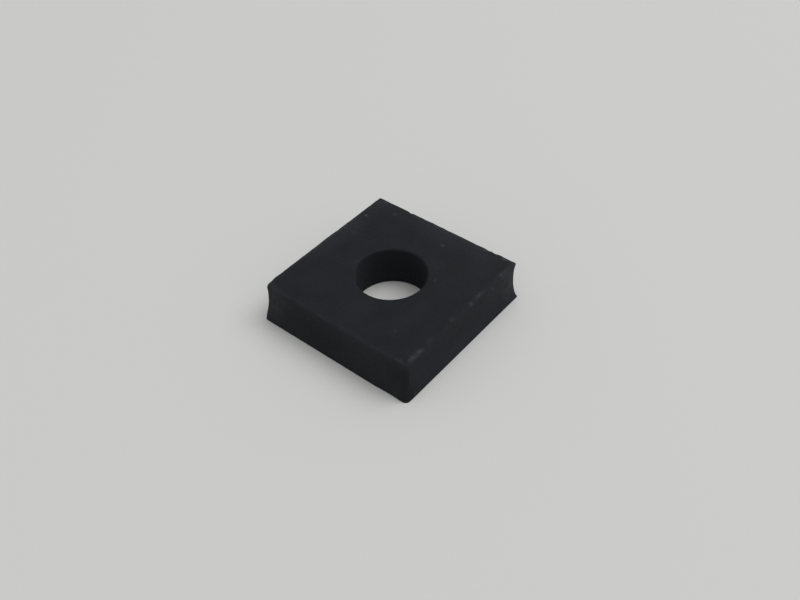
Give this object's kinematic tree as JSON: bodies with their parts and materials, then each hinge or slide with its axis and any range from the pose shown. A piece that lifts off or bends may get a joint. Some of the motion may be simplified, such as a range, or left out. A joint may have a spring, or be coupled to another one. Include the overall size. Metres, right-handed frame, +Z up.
{
  "type": "rubber spacer",
  "caption": "Square spacer pad cut from thick black sheet rubber, with hollow cut sides that flare at the foot and a round bolt hole through its middle.",
  "frame": {"origin": "centre of the foot, the wider flat face that the pad lies on", "axes": "+Z up along the bolt hole, from the foot to the top face; +X and +Y square to the sides"},
  "size_m": [0.0254, 0.0254, 0.0063],
  "materials": {
    "sheet_rubber": "matt black cut sheet rubber with light handling scuffs"
  },
  "bodies": {
    "root": {"rubber_spacer": "sheet_rubber"}
  },
  "joints": []
}
